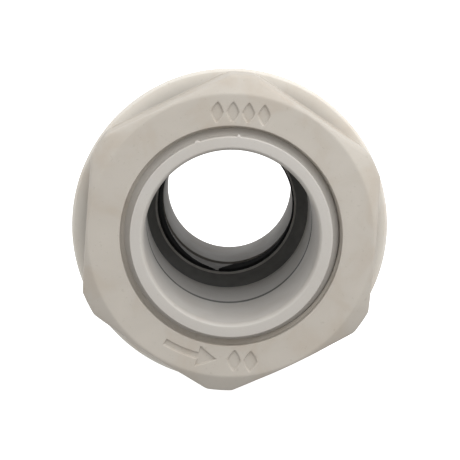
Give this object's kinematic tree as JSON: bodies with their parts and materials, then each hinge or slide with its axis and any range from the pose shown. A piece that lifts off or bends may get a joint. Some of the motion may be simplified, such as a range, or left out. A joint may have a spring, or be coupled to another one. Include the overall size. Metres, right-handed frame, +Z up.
{
  "type": "cable gland",
  "caption": "Light grey nylon cable gland with a flanged hexagonal lock nut, a threaded entry tube, a flexing claw around a black rubber seal, and a domed cap nut.",
  "frame": {"origin": "on the gland's axis, at the body's panel seat, which is the shoulder between entry thread and hexagon", "axes": "+Y along the axis from the entry thread to the cap nut, +Z up as the gland lies, +X to the right seen from the entry end"},
  "size_m": [0.0336, 0.0403, 0.0336],
  "materials": {
    "grey_nylon_body": "satin moulded nylon",
    "grey_nylon_nut": "satin moulded nylon, slightly warmer and mottled",
    "grey_nylon_cap": "satin moulded nylon",
    "black_seal_rubber": "matt moulded rubber",
    "black_gasket_rubber": "matt moulded rubber"
  },
  "bodies": {
    "gland_body": {"gland_body": "grey_nylon_body"},
    "seal_insert": {"seal_insert": "black_seal_rubber"},
    "cap_nut": {"cap_nut": "grey_nylon_cap"},
    "panel_gasket": {"panel_gasket": "black_gasket_rubber"},
    "lock_nut": {"lock_nut": "grey_nylon_nut"},
    "claw_finger_01": {"claw_finger_01": "grey_nylon_body"},
    "claw_finger_02": {"claw_finger_02": "grey_nylon_body"},
    "claw_finger_03": {"claw_finger_03": "grey_nylon_body"},
    "claw_finger_04": {"claw_finger_04": "grey_nylon_body"},
    "claw_finger_05": {"claw_finger_05": "grey_nylon_body"},
    "claw_finger_06": {"claw_finger_06": "grey_nylon_body"},
    "claw_finger_07": {"claw_finger_07": "grey_nylon_body"},
    "claw_finger_08": {"claw_finger_08": "grey_nylon_body"},
    "claw_finger_09": {"claw_finger_09": "grey_nylon_body"},
    "claw_finger_10": {"claw_finger_10": "grey_nylon_body"},
    "claw_finger_11": {"claw_finger_11": "grey_nylon_body"},
    "claw_finger_12": {"claw_finger_12": "grey_nylon_body"}
  },
  "joints": [
    {"name": "lock_spin", "type": "hinge", "parent": "gland_body", "child": "panel_gasket", "pos_m": [0, -0.0005, 0], "axis": [0, 1, 0], "range_deg": [-1980, 102]},
    {"name": "lock_travel", "type": "slide", "parent": "panel_gasket", "child": "lock_nut", "axis": [0, 1, 0], "range_m": [-0.00778, 0.0004]},
    {"name": "cap_spin", "type": "hinge", "parent": "gland_body", "child": "seal_insert", "pos_m": [0, 0.0144, 0], "axis": [0, 1, 0], "range_deg": [-180, 1080]},
    {"name": "cap_travel", "type": "slide", "parent": "seal_insert", "child": "cap_nut", "axis": [0, 1, 0], "range_m": [-0.00076, 0.00452]},
    {"name": "finger_01_flex", "type": "hinge", "parent": "gland_body", "child": "claw_finger_01", "pos_m": [0, 0.0109, 0.01035], "axis": [1, 0, 0], "range_deg": [-5, 0], "stiffness_Nm_per_rad": 0.004},
    {"name": "finger_02_flex", "type": "hinge", "parent": "gland_body", "child": "claw_finger_02", "pos_m": [0.00517, 0.0109, 0.00896], "axis": [0.866, 0, -0.5], "range_deg": [-5, 0], "stiffness_Nm_per_rad": 0.004},
    {"name": "finger_03_flex", "type": "hinge", "parent": "gland_body", "child": "claw_finger_03", "pos_m": [0.00896, 0.0109, 0.00517], "axis": [0.5, 0, -0.866], "range_deg": [-5, 0], "stiffness_Nm_per_rad": 0.004},
    {"name": "finger_04_flex", "type": "hinge", "parent": "gland_body", "child": "claw_finger_04", "pos_m": [0.01035, 0.0109, 0], "axis": [0, 0, -1], "range_deg": [-5, 0], "stiffness_Nm_per_rad": 0.004},
    {"name": "finger_05_flex", "type": "hinge", "parent": "gland_body", "child": "claw_finger_05", "pos_m": [0.00896, 0.0109, -0.00517], "axis": [-0.5, 0, -0.866], "range_deg": [-5, 0], "stiffness_Nm_per_rad": 0.004},
    {"name": "finger_06_flex", "type": "hinge", "parent": "gland_body", "child": "claw_finger_06", "pos_m": [0.00517, 0.0109, -0.00896], "axis": [-0.866, 0, -0.5], "range_deg": [-5, 0], "stiffness_Nm_per_rad": 0.004},
    {"name": "finger_07_flex", "type": "hinge", "parent": "gland_body", "child": "claw_finger_07", "pos_m": [0, 0.0109, -0.01035], "axis": [-1, 0, 0], "range_deg": [-5, 0], "stiffness_Nm_per_rad": 0.004},
    {"name": "finger_08_flex", "type": "hinge", "parent": "gland_body", "child": "claw_finger_08", "pos_m": [-0.00517, 0.0109, -0.00896], "axis": [-0.866, 0, 0.5], "range_deg": [-5, 0], "stiffness_Nm_per_rad": 0.004},
    {"name": "finger_09_flex", "type": "hinge", "parent": "gland_body", "child": "claw_finger_09", "pos_m": [-0.00896, 0.0109, -0.00517], "axis": [-0.5, 0, 0.866], "range_deg": [-5, 0], "stiffness_Nm_per_rad": 0.004},
    {"name": "finger_10_flex", "type": "hinge", "parent": "gland_body", "child": "claw_finger_10", "pos_m": [-0.01035, 0.0109, 0], "axis": [0, 0, 1], "range_deg": [-5, 0], "stiffness_Nm_per_rad": 0.004},
    {"name": "finger_11_flex", "type": "hinge", "parent": "gland_body", "child": "claw_finger_11", "pos_m": [-0.00896, 0.0109, 0.00517], "axis": [0.5, 0, 0.866], "range_deg": [-5, 0], "stiffness_Nm_per_rad": 0.004},
    {"name": "finger_12_flex", "type": "hinge", "parent": "gland_body", "child": "claw_finger_12", "pos_m": [-0.00517, 0.0109, 0.00896], "axis": [0.866, 0, 0.5], "range_deg": [-5, 0], "stiffness_Nm_per_rad": 0.004}
  ],
  "couplings": [
    {"joint": "lock_travel", "follows": "lock_spin", "m_per_rad": 0.00022457},
    {"joint": "cap_travel", "follows": "cap_spin", "m_per_rad": 0.00023873},
    {"joint": "finger_02_flex", "follows": "finger_01_flex", "ratio": 1},
    {"joint": "finger_03_flex", "follows": "finger_01_flex", "ratio": 1},
    {"joint": "finger_04_flex", "follows": "finger_01_flex", "ratio": 1},
    {"joint": "finger_05_flex", "follows": "finger_01_flex", "ratio": 1},
    {"joint": "finger_06_flex", "follows": "finger_01_flex", "ratio": 1},
    {"joint": "finger_07_flex", "follows": "finger_01_flex", "ratio": 1},
    {"joint": "finger_08_flex", "follows": "finger_01_flex", "ratio": 1},
    {"joint": "finger_09_flex", "follows": "finger_01_flex", "ratio": 1},
    {"joint": "finger_10_flex", "follows": "finger_01_flex", "ratio": 1},
    {"joint": "finger_11_flex", "follows": "finger_01_flex", "ratio": 1},
    {"joint": "finger_12_flex", "follows": "finger_01_flex", "ratio": 1}
  ]
}
